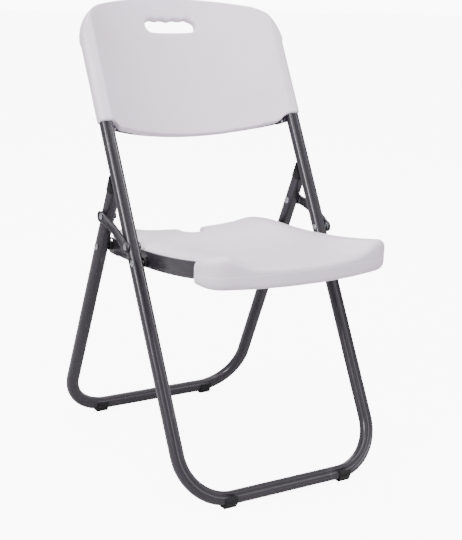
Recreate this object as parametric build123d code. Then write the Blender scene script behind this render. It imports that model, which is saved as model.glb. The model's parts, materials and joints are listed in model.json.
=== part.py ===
from build123d import *
import os
from math import asin, cos, degrees, hypot, radians, sin, sqrt, tan

# Folding chair with a blow-moulded seat and backrest on two fluted steel tube frames.
# +Z is up, the sitter faces -Y, and the origin is on the floor under the middle of the chair's box.
# Lengths are millimetres and angles are degrees.

# overall sizes
overall_height = 860.0
frame_half_width = 206.0        # centreline of each upright, in front and at the rear
floor_bar_spacing = 520.0       # front floor bar to rear floor bar, centre to centre
bar_height = 16.0               # centre of both floor bars above the floor
front_tilt = 28.3               # uprights lean back from vertical
rear_tilt = 23.4                # rear legs lean forward from vertical

# fluted tube
tube_width = 25.0               # in the plane of the bent frame
tube_depth = 21.0               # across that plane
tube_wall = 1.2
tube_corner = 9.0
flute_depth = 3.0
flute_radius = 8.5
ridge_radius = 1.6
bend_radius = 90.0

# pivots, as distance up the tube from its floor bar and offset towards the front frame's face
seat_pivot_up, front_pivot_off = 440.0, 3.0
link_pivot_up = 471.5
rail_pin_up, rear_pivot_off = 425.0, 2.0
link_pin_up = 494.0

# rivets, washers and spacers
pin_radius = 3.5
pin_gap = 0.05                  # radial running clearance
slide_gap = 0.3                 # between faces that turn past each other
head_radius = 6.5
head_height = 2.2
head_rim = 0.75                 # straight edge under each head's dome
washer_radius = 8.5
spacer_radius = 9.0
link_washer = 1.2
slot_washer_radius = 7.2
slot_washer_thickness = 1.0
slot_travel_up = 7.2            # play at the open pivot, up from rest in the rail
slot_travel_back = 2.8
slot_play = 0.5
dimple_radius = 9.5
dimple_depth = 3.0

# seat rails: a channel bent to a long arc through three points (y, z)
rail_front_point = (21.0, 432.5)
rail_mid_point = (148.0, 414.0)
rail_rear_point = (343.0, 404.2)
rail_front_end = 8.0
rail_rear_end = 367.0
rail_height = 31.0
rail_thickness = 2.0
rail_flange = 13.0
rail_corner = 3.5
rail_flange_end = 322.0         # flanges stop here, so the rear end is a flat ear
rail_tube_gap = 7.0             # between the rail's web and the tubes, filled by the spacers

# seat
seat_front = -40.0
seat_rear = 386.0
seat_rise = 7.5                 # shoulder of the seat above the rail's top edge
seat_dish = 9.0
seat_shoulder = 45.0            # width of the rounded shoulder
seat_rim = 2.0                  # thickness of the lip where it lies on the rail
seat_thickness = 24.0
seat_wall = 3.0
seat_front_bow = 19.0           # the front edge bows out this far between its corners
seat_front_radius = 30.0
seat_dip_height = 438.0         # the middle of the seat at its front edge, between two horns
seat_dip_slope = 2.9            # angle at which that middle part runs down to the rear
seat_dip_inset = 78.5           # from the side of the seat to the foot of each horn
seat_dip_rise = 5.0             # its cross-section curves up to the foot of each horn
seat_horn_slope = 29.3          # angle of the inner side of each horn
seat_horn_blend = 45.0
seat_rear_radius = 48.0
seat_tube_gap = 3.0             # side of the front roll to the uprights
roll_back = 27.0
roll_front = -12.0              # the slab starts here, inside the roll
roll_bottom = 400.0
roll_radius = 17.0
notch_width = 44.0
notch_depth = 40.0
notch_lip_radius = 14.0
notch_end_radius = 15.0
seat_rail_gap = 0.3
brace_front_y, brace_rear_y = 75.0, 292.0
brace_radius = 7.0
brace_wall = 1.5
brace_lift = 1.5                # brace above the rails' lower flanges
seat_screw_x = 110.0
seat_screw_length = 22.0

# links
link_width = 18.0
link_end_radius = 10.5
link_thickness = 2.0
link_rib = 3.2                  # height of the turned-out edges
link_arch = 7.0

# backrest, in the plane of the front frame: x across, up the frame, and out of its face
sleeve_wall = 2.5               # plastic outside each upright
sleeve_inner_wall = 3.5
sleeve_face_wall = 3.0
back_fit = 0.1                  # sleeves round the tubes
back_set = 44.0                 # middle of the face behind the tube centreline
back_arc_inset = 8.0            # the bowed face runs out into the sleeves this far inside the uprights
back_thickness = 18.0
back_wall = 2.6
back_side_radius = 12.0
back_corner_radius = 95.0
corner_mark = 35.0              # angle of the middle point drawn on each top corner

# heights in the backrest, down from its top edge
back_height = 284.3             # to the ends of the bowed face's lower edge
back_corner_drop = 119.3        # to the top of the straight sides
tube_top_drop = 114.3
slot_drop = 45.3
slot_height = 29.0
slot_half_length = 57.5
scallop_count = 4
scallop_depth = 2.6

# heights in the backrest, up from the ends of the bowed face's lower edge
sleeve_low_rise = 11.0
middle_low_rise = -5.0
cross_rise = 5.0
cross_screw_rise = 1.9
tab_low_rise, tab_high_rise = -4.0, 24.0
sleeve_screw_rise = 47.0
low_edge_inset = 30.0           # the lower edge turns down to the bowed face this far inside the uprights

# crossbar behind the backrest's lower edge
cross_height = 13.0
cross_thickness = 4.0
cross_end = -8.0                # where its middle line meets the uprights, out from their plane
cross_bow = 56.3                # how far its middle is behind its ends
cross_gap = 0.3
cross_screw_inset = 19.0        # from the middle of the upright
cross_head_radius = 3.2
cross_head_lift = 0.05          # the head's rim just clears the hollow of the bowed bar
tab_width = 15.0                # tab of the backrest behind each end of the crossbar
tab_thickness = 6.0
sleeve_screw_length = 12.0

# caps and floor pads
cap_base = 548.0
cap_top = 577.0
cap_wall = 1.2
leg_tube_top = 559.0
stop_gap = 0.3
pad_inset_front, pad_inset_rear = 82.0, 80.0    # from the uprights to the middle of each pad
pad_length = 25.0
pad_wall = 2.6
pad_rise = 6.0                  # top of the clip above the middle of the bar
pad_foot_width = 16.0
pad_foot_flare = 4.0
pad_fit = 0.1

# screws
screw_radius = 2.2
screw_head_radius = 4.5
screw_head_height = 2.0

# drawing aids
past = 1.0                      # how far a cutter runs past the face it cuts
clear = 40.0                    # reach of the solids that trim a shape, outside its surface
swing_past = 10.0               # how far the shape of the seat's top is swung past its two ends
nearly = 0.1                    # faces that would coincide are drawn this far apart

os.makedirs("parts", exist_ok=True)

# frames of reference: x across, y up the tubes, z towards the front face of the chair
front_plane = Plane(
    origin=(0, 0, bar_height), x_dir=(1, 0, 0),
    z_dir=(0, -cos(radians(front_tilt)), sin(radians(front_tilt))))
rear_plane = Plane(
    origin=(0, floor_bar_spacing, bar_height), x_dir=(1, 0, 0),
    z_dir=(0, -cos(radians(rear_tilt)), -sin(radians(rear_tilt))))

back_top = (overall_height - bar_height + back_set * sin(radians(front_tilt))) / cos(radians(front_tilt))
back_side_top = back_top - back_corner_drop
tube_top = back_top - tube_top_drop
slot_high = back_top - slot_drop
slot_low = slot_high - slot_height
back_low_end = back_top - back_height
back_low_side = back_low_end + sleeve_low_rise
back_low_middle = back_low_end + middle_low_rise
cross_up = back_low_end + cross_rise
cross_screw_up = back_low_end + cross_screw_rise
tab_low, tab_high = back_low_end + tab_low_rise, back_low_end + tab_high_rise
sleeve_screw_up = back_low_end + sleeve_screw_rise
tube_out = frame_half_width + tube_width / 2
tube_in = frame_half_width - tube_width / 2
back_half_width = tube_out + sleeve_wall
back_front = tube_depth / 2 + sleeve_face_wall
sleeve_width = back_half_width - tube_in + sleeve_inner_wall
back_arc_reach = frame_half_width - back_arc_inset
back_low_reach = frame_half_width - low_edge_inset
cross_screw_x = frame_half_width - cross_screw_inset
rail_out = tube_in - rail_tube_gap
rail_in = rail_out - rail_thickness
rear_reach = ((tube_width / 2 - tube_corner) * sin(radians(rear_tilt))
              + (tube_depth / 2 - tube_corner) * cos(radians(rear_tilt)) + tube_corner + pad_fit + pad_wall)
middle_y = (seat_front + floor_bar_spacing + rear_reach) / 2
sides = {"left": -1, "right": 1}


def write(shape, name):
    # the chair is drawn from its front floor bar, and written from the middle of its box
    export_step(Pos(0, -middle_y, 0) * shape, f"parts/{name}.step")


def side_cylinder(plane, up, off, side, start, end, radius):
    # a cylinder along X, from start to end out from the middle of the chair
    low, high = sorted((side * start, side * end))
    seat = plane.location * Pos(low, up, off) * Rot(0, 90, 0)
    return seat * Cylinder(radius, high - low, align=(Align.CENTER, Align.CENTER, Align.MIN))


def side_ring(plane, up, off, side, start, end, radius, bore):
    ring = side_cylinder(plane, up, off, side, start, end, radius)
    return ring - side_cylinder(plane, up, off, side, start - past, end + past, bore)


def dome(radius, height):
    # a low dome on a short rim, standing up from z = 0
    crown = height - head_rim
    ball = (radius * radius + crown * crown) / (2 * crown)
    rim = Cylinder(radius, height, align=(Align.CENTER, Align.CENTER, Align.MIN))
    return rim & Pos(0, 0, height - ball) * Sphere(ball)


def side_head(plane, up, off, side, start, outward):
    turn = 90 if side * outward > 0 else -90
    return plane.location * Pos(side * start, up, off) * Rot(0, turn, 0) * dome(head_radius, head_height)


def rivet(plane, up, off, side, inner_face, outer_face):
    shaft = side_cylinder(plane, up, off, side, inner_face, outer_face, pin_radius)
    inner = side_head(plane, up, off, side, inner_face, -1)
    return shaft + inner + side_head(plane, up, off, side, outer_face, 1)


# ---- fluted tube frames ----

def tube_section(inset):
    outline = RectangleRounded(tube_width - 2 * inset, tube_depth - 2 * inset, tube_corner - inset)
    flute = Pos(0, tube_depth / 2 - flute_depth + flute_radius) * Circle(flute_radius + inset)
    section = outline - flute
    ridges = section.vertices().sort_by(Axis.Y)[-2:]
    return fillet(ridges, ridge_radius - inset)


def bent_run(top, flute_side, section):
    # one U from upright to upright: straight runs are extruded and the two bends are revolved
    w, r = frame_half_width, bend_radius
    foot = Plane(origin=(w, r, 0), x_dir=(-flute_side, 0, 0), z_dir=(0, 1, 0))
    upright = extrude(foot * section, top - r)
    bend = revolve(foot * section, Axis((w - r, r, 0), (0, 0, -1)), 90)
    end = Plane(origin=(r - w, 0, 0), x_dir=(0, flute_side, 0), z_dir=(1, 0, 0))
    bar = extrude(end * section, 2 * (w - r))
    half = upright + bend
    return half + mirror(half, Plane.YZ) + bar


def u_tube(top, flute_side):
    return (bent_run(top, flute_side, tube_section(0.0))
            - bent_run(top, flute_side, tube_section(tube_wall)))


def solid_section(grow):
    # the tube's outside without its flute, for what clips round it
    return RectangleRounded(tube_width + 2 * grow, tube_depth + 2 * grow, tube_corner + grow)


def front_tube():
    tube = front_plane.location * u_tube(tube_top, 1)
    for side in sides.values():
        # the seat pivot's outer head sits in a round recess pressed into the tube
        cup = side_cylinder(front_plane, seat_pivot_up, front_pivot_off, side,
                            tube_out - dimple_depth - tube_wall, tube_out, dimple_radius + tube_wall)
        cup &= front_plane.location * Pos(side * frame_half_width, seat_pivot_up, 0) * Box(
            tube_width - 2 * tube_wall, 4 * dimple_radius, tube_depth - 2 * tube_wall)
        tube += cup
        tube -= side_cylinder(front_plane, seat_pivot_up, front_pivot_off, side,
                              tube_out - dimple_depth, tube_out + past, dimple_radius)
        for up in (seat_pivot_up, link_pivot_up):
            tube -= side_cylinder(front_plane, up, front_pivot_off, side,
                                  tube_in - past, tube_out + past, pin_radius + pin_gap)
        tube -= front_plane.location * sleeve_screw_shank(side, pin_gap)
    return tube


def rear_tube():
    tube = rear_plane.location * u_tube(leg_tube_top, -1)
    for side in sides.values():
        for up in (rail_pin_up, link_pin_up):
            tube -= side_cylinder(rear_plane, up, rear_pivot_off, side,
                                  tube_in - past, tube_out + past, pin_radius + pin_gap)
    return tube


# ---- seat rails ----

def circle_through(p, q, s):
    (ax, ay), (bx, by), (cx, cy) = p, q, s
    d = 2 * (ax * (by - cy) + bx * (cy - ay) + cx * (ay - by))
    pa, pb, pc = ax * ax + ay * ay, bx * bx + by * by, cx * cx + cy * cy
    x = (pa * (by - cy) + pb * (cy - ay) + pc * (ay - by)) / d
    y = (pa * (cx - bx) + pb * (ax - cx) + pc * (bx - ax)) / d
    return x, y, hypot(ax - x, ay - y)


arc_y, arc_z, rail_radius = circle_through(rail_front_point, rail_mid_point, rail_rear_point)
rail_axis = Axis((0, arc_y, arc_z), (1, 0, 0))


def arc_height(y):
    # height of the rails' middle line at y
    return arc_z - sqrt(rail_radius ** 2 - (y - arc_y) ** 2)


def along_rails(face, y_low, y_high):
    # a cross-section, drawn as x and height above the rails' middle, swung along the rails' arc
    start = degrees(asin((y_low - arc_y) / rail_radius))
    end = degrees(asin((y_high - arc_y) / rail_radius))
    lowest = Plane(origin=(0, arc_y, arc_z - rail_radius), x_dir=(1, 0, 0), z_dir=(0, -1, 0))
    return revolve((lowest * face).rotate(rail_axis, start), rail_axis, end - start)


def pivot_point(plane, up, off):
    place = plane.from_local_coords((0, up, off))
    return place.Y, place.Z


seat_pivot = pivot_point(front_plane, seat_pivot_up, front_pivot_off)
link_pivot = pivot_point(front_plane, link_pivot_up, front_pivot_off)
rail_pin = pivot_point(rear_plane, rail_pin_up, rear_pivot_off)
link_pin = pivot_point(rear_plane, link_pin_up, rear_pivot_off)


def x_cylinder(point, low, high, radius):
    return Pos(low, *point) * Rot(0, 90, 0) * Cylinder(
        radius, high - low, align=(Align.CENTER, Align.CENTER, Align.MIN))


def between(side, a, b):
    return sorted((side * a, side * b))


def brace_centre(y):
    # low in the channels, just above their lower flanges
    brace_drop = rail_height / 2 - rail_thickness - brace_lift - brace_radius
    return y, arc_height(y) - brace_drop


def channel_section(side):
    # an upright channel with its flanges turned towards the seat
    outer = Pos(side * (rail_out - rail_flange / 2), 0) * Rectangle(rail_flange, rail_height)
    corners = outer.vertices().sort_by(Axis.X)
    outer = fillet(corners[-2:] if side > 0 else corners[:2], rail_corner)
    inner = Pos(side * (rail_in - rail_flange / 2), 0) * Rectangle(
        rail_flange, rail_height - 2 * rail_thickness)
    corners = inner.vertices().sort_by(Axis.X)
    return outer - fillet(corners[-2:] if side > 0 else corners[:2], rail_corner - rail_thickness)


def seat_rail(side):
    half = rail_height / 2
    web = Pos(side * (rail_in + rail_out) / 2, 0) * Rectangle(rail_thickness, rail_height)
    ear = rail_rear_end - half
    rail = along_rails(channel_section(side), rail_front_end, rail_flange_end)
    rail += along_rails(web, rail_flange_end, ear)
    low, high = between(side, rail_in, rail_out)
    rail += x_cylinder((ear, arc_height(ear)), low, high, half)
    low, high = between(side, rail_in - past, rail_out + past)
    rail -= x_cylinder(seat_pivot, low, high, pin_radius + pin_gap)
    wide = 2 * (pin_radius + slot_play)
    y, z = rail_pin
    slot = Pos(y + slot_travel_back / 2, z + slot_travel_up / 2) * RectangleRounded(
        wide + slot_travel_back, wide + slot_travel_up, wide / 2 - nearly)
    rail -= Pos(low, 0, 0) * extrude(Plane.YZ * slot, high - low)
    return rail


# ---- seat panel ----

seat_side = tube_in - seat_tube_gap
lip_side = rail_out - 1.0


def seat_plan(inset):
    # outline from above: the front roll is wider than the rest, which sits over the rails
    f, r = seat_front + inset, seat_rear - inset
    w, n, step = seat_side - inset, lip_side - inset, roll_back - inset
    hw, hd = notch_width / 2 + inset, seat_rear - notch_depth - inset
    corner = f + seat_front_bow
    face = make_face([ThreePointArc((-w, corner), (0, f), (w, corner)), Polyline(
        (w, corner), (w, step), (n, step), (n, r), (hw, r), (hw, hd),
        (-hw, hd), (-hw, r), (-n, r), (-n, step), (-w, step), (-w, corner))])

    def rounded(face, y, x, radius):
        picked = [v for v in face.vertices() if abs(v.Y - y) < 0.01 and abs(abs(v.X) - x) < 0.01]
        return fillet(picked, radius)

    face = rounded(face, corner, w, seat_front_radius - inset)
    face = rounded(face, r, n, seat_rear_radius - inset)
    face = rounded(face, r, hw, notch_lip_radius - inset)
    return rounded(face, hd, hw, notch_end_radius + inset)


def seat_air(inset):
    # everything above the seat's top surface, as a cross-section on one side
    crest = rail_height / 2 + seat_rise - inset
    rim = rail_height / 2 + seat_rail_gap + seat_rim - inset
    bend = lip_side - seat_shoulder
    edge, far = seat_side + past, crest + clear
    return make_face([
        ThreePointArc((0, crest - seat_dish), (bend / 2, crest - seat_dish * 0.75), (bend, crest)),
        ThreePointArc((bend, crest), (bend + seat_shoulder * 0.6, crest - (crest - rim) * 0.3),
                      (lip_side, rim)),
        Line((lip_side, rim), (edge, rim)), Line((edge, rim), (edge, far)),
        Line((edge, far), (0, far)), Line((0, far), (0, crest - seat_dish))])


def seat_dip(inset):
    # what is cut from the front of the top, so that its middle runs on almost level between the horns
    half = seat_side - seat_dip_inset + inset * tan(radians(seat_horn_slope / 2))
    foot, far = seat_dip_rise - inset, seat_dip_rise + 2 * clear
    reach = half + (far - foot) / tan(radians(seat_horn_slope))
    face = make_face([ThreePointArc((-half, foot), (0, -inset), (half, foot)), Polyline(
        (half, foot), (reach, far), (-reach, far), (-half, foot))])
    face = fillet(face.vertices().sort_by(Axis.Y)[:2], seat_horn_blend)
    turn = radians(seat_dip_slope)
    start = Plane(origin=(0, seat_front - clear, seat_dip_height + clear * tan(turn)), x_dir=(-1, 0, 0),
                  z_dir=(0, cos(turn), -sin(turn)))
    return extrude(start * face, seat_rear - seat_front - clear)


def seat_core(inset):
    half = rail_height / 2
    depth = half + seat_rise - seat_thickness + inset
    w = seat_side - inset
    slab = Pos(0, depth) * Rectangle(2 * w, half + clear - depth, align=(Align.CENTER, Align.MIN))
    body = along_rails(slab, roll_front, seat_rear)
    roll_high = arc_height(seat_front) + half + clear / 2
    # the roll stands just proud of the plan, which trims it
    edge = seat_front - nearly
    front = Pos((edge + roll_back) / 2, (roll_bottom + roll_high) / 2) * RectangleRounded(
        roll_back - edge - 2 * inset, roll_high - roll_bottom - 2 * inset, roll_radius - inset)
    bow_radius = (seat_side ** 2 + seat_front_bow ** 2) / (2 * seat_front_bow)
    turn = degrees(asin((w + past) / (bow_radius - roll_back)))
    bow_axis = Axis((0, seat_front + bow_radius, 0), (0, 0, 1))
    body += revolve((Plane.YZ * front).rotate(bow_axis, -turn), bow_axis, 2 * turn)
    body -= seat_dip(inset)
    air = seat_air(inset)
    body -= along_rails(air + mirror(air, Plane.YZ), seat_front - swing_past, seat_rear + swing_past)
    return body & Pos(0, 0, roll_bottom - clear) * extrude(seat_plan(inset), 4 * clear)


def rail_room(side, gap):
    # the space that a rail takes in the seat, with what is under it
    high = rail_height / 2 + gap
    inner = rail_out - rail_flange - gap
    outer = seat_side + past
    tunnel = Pos(side * (inner + rail_out + gap) / 2, 0) * Rectangle(rail_out + gap - inner, 2 * high)
    below = Pos(side * (inner + outer) / 2, high) * Rectangle(
        outer - inner, 2 * clear, align=(Align.CENTER, Align.MAX))
    return (along_rails(tunnel, rail_front_end - gap, seat_rear + clear)
            + along_rails(below, roll_back, seat_rear + clear))


def brace_groove(y, gap):
    # room for a brace, and for putting it in from below
    groove = x_cylinder(brace_centre(y), -seat_side, seat_side, brace_radius + gap)
    return groove + Pos(0, *brace_centre(y)) * Box(
        2 * seat_side, 2 * (brace_radius + gap), roll_bottom, align=(Align.CENTER, Align.CENTER, Align.MAX))


def seat_panel():
    # the panel is hollow, and grooved underneath for the rails and the two braces
    panel, hollow = seat_core(0.0), seat_core(seat_wall)
    for side in sides.values():
        panel -= rail_room(side, seat_rail_gap)
        hollow -= rail_room(side, seat_rail_gap + seat_wall)
    for y in (brace_front_y, brace_rear_y):
        panel -= brace_groove(y, seat_rail_gap)
        hollow -= brace_groove(y, seat_rail_gap + seat_wall)
    panel -= hollow
    for x, y in seat_screw_places:
        panel -= seat_screw_shank(x, y, 0.0)
    return panel


seat_screw_places = [(x, y) for x in (-seat_screw_x, seat_screw_x) for y in (brace_front_y, brace_rear_y)]


def seat_screw_shank(x, y, gap):
    bottom = brace_centre(y)[1] - brace_radius
    return Pos(x, y, bottom) * Cylinder(
        screw_radius + gap, seat_screw_length, align=(Align.CENTER, Align.CENTER, Align.MIN))


def seat_screw(x, y):
    # up through the brace into the panel, its head under the brace
    bottom = brace_centre(y)[1] - brace_radius
    return seat_screw_shank(x, y, 0.0) + Pos(x, y, bottom) * Rot(180, 0, 0) * dome(
        screw_head_radius, screw_head_height)


def seat_brace(y):
    # a round tube welded between the two rails
    tube = x_cylinder(brace_centre(y), -rail_in, rail_in, brace_radius)
    tube -= x_cylinder(brace_centre(y), -rail_in, rail_in, brace_radius - brace_wall)
    for x in (-seat_screw_x, seat_screw_x):
        tube -= seat_screw_shank(x, y, pin_gap)
    return tube


# ---- links and pivots ----

def arched_strip(half_width, end_radius, start, end, low, high):
    # a strip in the YZ plane, bowed upwards, with a round eye at each pivot
    sy, sz = start
    ey, ez = end
    span = hypot(ey - sy, ez - sz)
    uy, uz = (ey - sy) / span, (ez - sz) / span
    ny, nz = -uz, uy
    my, mz = (sy + ey) / 2 + ny * link_arch, (sz + ez) / 2 + nz * link_arch

    def offset(point, shift):
        return point[0] + ny * shift, point[1] + nz * shift

    middle = (my, mz)
    face = make_face([
        ThreePointArc(offset(start, half_width), offset(middle, half_width), offset(end, half_width)),
        Line(offset(end, half_width), offset(end, -half_width)),
        ThreePointArc(offset(end, -half_width), offset(middle, -half_width), offset(start, -half_width)),
        Line(offset(start, -half_width), offset(start, half_width))])
    strip = Pos(low, 0, 0) * extrude(Plane.YZ * face, high - low)
    for point in (start, end):
        strip += x_cylinder(point, low, high, end_radius)
    return strip


link_face = tube_out + link_washer + slide_gap


def link(side):
    # pressed steel, with its edge turned outwards all round
    half = link_width / 2
    low, high = between(side, link_face, link_face + link_thickness + link_rib)
    body = arched_strip(half, link_end_radius, link_pivot, link_pin, low, high)
    low, high = between(side, link_face + link_thickness, link_face + link_thickness + link_rib + past)
    body -= arched_strip(
        half - link_thickness, link_end_radius - link_thickness, link_pivot, link_pin, low, high)
    for point in (link_pivot, link_pin):
        low, high = between(side, link_face - past, link_face + link_thickness + past)
        body -= x_cylinder(point, low, high, pin_radius + pin_gap)
    return body


def pivots(side):
    # each rivet is held in its tube, and the moving sheet turns on it
    rail_far = rail_in - slide_gap
    link_far = link_face + link_thickness + slide_gap
    bore = pin_radius + pin_gap
    seat_at = front_plane, seat_pivot_up, front_pivot_off, side
    link_at = front_plane, link_pivot_up, front_pivot_off, side
    rail_at = rear_plane, rail_pin_up, rear_pivot_off, side
    leg_at = rear_plane, link_pin_up, rear_pivot_off, side
    return {
        "seat_pivot_rivet": rivet(*seat_at, rail_far, tube_out - dimple_depth),
        "link_pivot_rivet": rivet(*link_at, tube_in, link_far),
        "leg_link_rivet": rivet(*leg_at, tube_in, link_far),
        "leg_rail_rivet": rivet(*rail_at, rail_far - slot_washer_thickness, tube_out),
        "leg_rail_washer": side_ring(*rail_at, rail_far - slot_washer_thickness, rail_far,
                                     slot_washer_radius, bore),
        "seat_spacer": side_ring(*seat_at, rail_out + slide_gap, tube_in, spacer_radius, bore),
        "leg_spacer": side_ring(*rail_at, rail_out + slide_gap, tube_in, spacer_radius, bore),
        "link_front_washer": side_ring(*link_at, tube_out, tube_out + link_washer, washer_radius, bore),
        "link_rear_washer": side_ring(*leg_at, tube_out, tube_out + link_washer, washer_radius, bore)}


# ---- backrest, drawn in the plane of the front frame ----

def back_outline(inset):
    # big round top corners run into a shallow crown
    w, r = back_half_width - inset, back_corner_radius - inset
    cx, cy = w - r, back_side_top
    top = back_top - inset
    d = top - cy
    # the crown's circle touches both corner circles from outside
    crown = (cx * cx + d * d - r * r) / (2 * (d - r))
    centre = top - crown
    lean = hypot(cx, cy - centre)
    tx, ty = cx * crown / lean, centre + (cy - centre) * crown / lean
    mx, my = cx + r * cos(radians(corner_mark)), cy + r * sin(radians(corner_mark))
    low, end, mid = (level + inset for level in (back_low_side, back_low_end, back_low_middle))
    inner, reach = back_half_width - sleeve_width - inset, back_low_reach - inset
    return make_face([
        Line((inner, low), (w, low)), Line((w, low), (w, cy)),
        ThreePointArc((w, cy), (mx, my), (tx, ty)),
        ThreePointArc((tx, ty), (0, top), (-tx, ty)),
        ThreePointArc((-tx, ty), (-mx, my), (-w, cy)),
        Line((-w, cy), (-w, low)), Line((-w, low), (-inner, low)), Line((-inner, low), (-reach, end)),
        ThreePointArc((-reach, end), (0, mid), (reach, end)), Line((reach, end), (inner, low))])


def bow(reach, edge, drop, low, high):
    # a bowed strip seen from above: its face passes through (reach, edge) and (0, edge - drop)
    radius = (reach * reach + drop * drop) / (2 * drop)
    ring = Circle(radius + high) - Circle(radius + low)
    keep = Pos(0, edge - low) * Rectangle(
        2 * (reach + high), drop + 2 * high, align=(Align.CENTER, Align.MAX))
    return (Pos(0, edge - drop + radius) * ring) & keep


def up_the_frame(section, low, high):
    # a cross-section drawn as x and distance out of the frame's face, drawn out along the tubes
    level = Plane(origin=(0, low, 0), x_dir=(1, 0, 0), z_dir=(0, 1, 0))
    return extrude(level * mirror(section, Plane.XZ), high - low)


def back_core(inset):
    # a bowed panel with a sleeve down each side for the uprights
    section = bow(back_arc_reach, back_front, back_front + back_set, inset, back_thickness - inset)
    for side in sides.values():
        section += Pos(side * (back_half_width - sleeve_width / 2), 0) * RectangleRounded(
            sleeve_width - 2 * inset, 2 * (back_front - inset), back_side_radius - inset)
    body = up_the_frame(section, back_low_middle - past, back_top + past)
    return body & Pos(0, 0, -back_half_width) * extrude(back_outline(inset), 2 * back_half_width)


def upright(side, grow, low, high):
    return up_the_frame(Pos(side * frame_half_width, 0) * solid_section(grow), low, high)


def hand_slot(grow):
    # a long slot with shallow finger scallops along its upper edge
    height = slot_high - scallop_depth - slot_low
    level = slot_low + height / 2
    face = Pos(0, level) * RectangleRounded(
        2 * (slot_half_length + grow), height + 2 * grow, height / 2 + grow - nearly)
    pitch = 2 * (slot_half_length - scallop_depth) / scallop_count
    radius = (pitch * pitch / 4 + scallop_depth * scallop_depth) / (2 * scallop_depth) + grow
    above = Pos(0, level + radius) * Rectangle(2 * slot_half_length, 2 * radius)
    for i in range(scallop_count):
        x = pitch * (i - (scallop_count - 1) / 2)
        face += (Pos(x, slot_high + grow - radius) * Circle(radius)) & above
    return Pos(0, 0, -back_half_width) * extrude(face, 2 * back_half_width)


def crossbar_body(gap):
    half = cross_thickness / 2 + gap
    section = bow(tube_in, cross_end, cross_bow, -half, half)
    return up_the_frame(section, cross_up - cross_height / 2 - gap, cross_up + cross_height / 2 + gap)


def crossbar_end(side):
    # on the crossbar's middle line at its screw, with z square to its face
    radius = (tube_in * tube_in + cross_bow * cross_bow) / (2 * cross_bow)
    turn = degrees(asin(cross_screw_x / radius))
    centre = Pos(0, cross_screw_up, cross_end - cross_bow + radius)
    return centre * Rot(0, -side * turn, 0) * Pos(0, 0, -radius)


def crossbar():
    bar = crossbar_body(0.0)
    for side in sides.values():
        bar -= upright(side, 0.0, back_low_middle, back_side_top)
        bar -= cross_screw_shank(side, pin_gap)
    return front_plane.location * bar


def cross_screw_shank(side, gap):
    face = cross_thickness / 2 + cross_head_lift
    length = cross_thickness + tab_thickness
    return crossbar_end(side) * Pos(0, 0, face) * Cylinder(
        screw_radius + gap, length, align=(Align.CENTER, Align.CENTER, Align.MAX))


def cross_tab(side):
    # a tab of the backrest that hooks over the crossbar's end and down behind it
    behind = cross_thickness / 2 + cross_gap
    hook = Pos(0, tab_low - cross_screw_up, -behind) * Box(
        tab_width, tab_high - tab_low, tab_thickness, align=(Align.CENTER, Align.MIN, Align.MAX))
    hook += Pos(0, cross_up - cross_screw_up, -behind) * Box(
        tab_width, tab_high - cross_up, 2 * behind, align=(Align.CENTER, Align.MIN, Align.MIN))
    return crossbar_end(side) * hook


def sleeve_screw_shank(side, gap):
    return Pos(side * frame_half_width, sleeve_screw_up, -back_front) * Cylinder(
        screw_radius + gap, sleeve_screw_length, align=(Align.CENTER, Align.CENTER, Align.MIN))


def backrest_screws():
    screws = []
    for side in sides.values():
        face = crossbar_end(side) * Pos(0, 0, cross_thickness / 2 + cross_head_lift)
        screws.append(cross_screw_shank(side, 0.0) + face * dome(cross_head_radius, screw_head_height))
        face = Pos(side * frame_half_width, sleeve_screw_up, -back_front) * Rot(180, 0, 0)
        screws.append(sleeve_screw_shank(side, 0.0) + face * dome(screw_head_radius, screw_head_height))
    return Compound([front_plane.location * screw for screw in screws])


def backrest_panel():
    panel, hollow = back_core(0.0), back_core(back_wall)
    panel -= hand_slot(0.0)
    hollow -= hand_slot(back_wall) + crossbar_body(cross_gap + back_wall)
    for side in sides.values():
        # round the tube the sleeve is solid up to the tube's end
        hollow -= Pos(side * (back_half_width - sleeve_width / 2), back_low_middle, 0) * Box(
            sleeve_width + 2 * back_wall, 2 * (tube_top + back_wall - back_low_middle), 4 * back_front)
    panel = panel - hollow - crossbar_body(cross_gap)
    for side in sides.values():
        panel += cross_tab(side) - crossbar_body(cross_gap)
        panel -= upright(side, back_fit, tab_low - past, tube_top + back_fit)
        panel -= cross_screw_shank(side, 0.0)
        panel -= sleeve_screw_shank(side, 0.0)
    return front_plane.location * panel


# ---- caps and floor pads ----

def leg_cap(side):
    # pushed over the top of the rear leg, and cut to lie against the back of the front tube
    outer = Pos(side * frame_half_width, 0) * solid_section(cap_wall)
    inner = Pos(side * frame_half_width, 0) * solid_section(pad_fit)
    cap = rear_plane.location * (up_the_frame(outer, cap_base, cap_top)
                                 - up_the_frame(inner, cap_base - past, leg_tube_top))
    rest = Pos(side * frame_half_width, cap_top, -tube_depth / 2 - stop_gap) * Box(
        2 * tube_width, 2 * cap_top, tube_width * 4, align=(Align.CENTER, Align.CENTER, Align.MIN))
    return cap - front_plane.location * rest


def floor_pad(plane, side, x):
    # a clip that saddles the floor bar from below, on a flat foot
    wrap = plane.location * bent_run(2 * bend_radius, 1, solid_section(pad_wall + pad_fit))
    bar = plane.location * bent_run(2 * bend_radius, 1, solid_section(pad_fit))
    y, foot = plane.origin.Y, pad_foot_width / 2
    base = Polyline((y - foot, 0), (y + foot, 0), (y + foot + pad_foot_flare, bar_height / 2),
                    (y - foot - pad_foot_flare, bar_height / 2), close=True)
    wrap += Pos(side * x - pad_length, 0, 0) * extrude(Plane.YZ * make_face(base), 2 * pad_length)
    keep = Pos(side * x, y, 0) * Box(pad_length, 4 * tube_width, bar_height + pad_rise,
                                     align=(Align.CENTER, Align.CENTER, Align.MIN))
    return (wrap & keep) - bar


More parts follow.
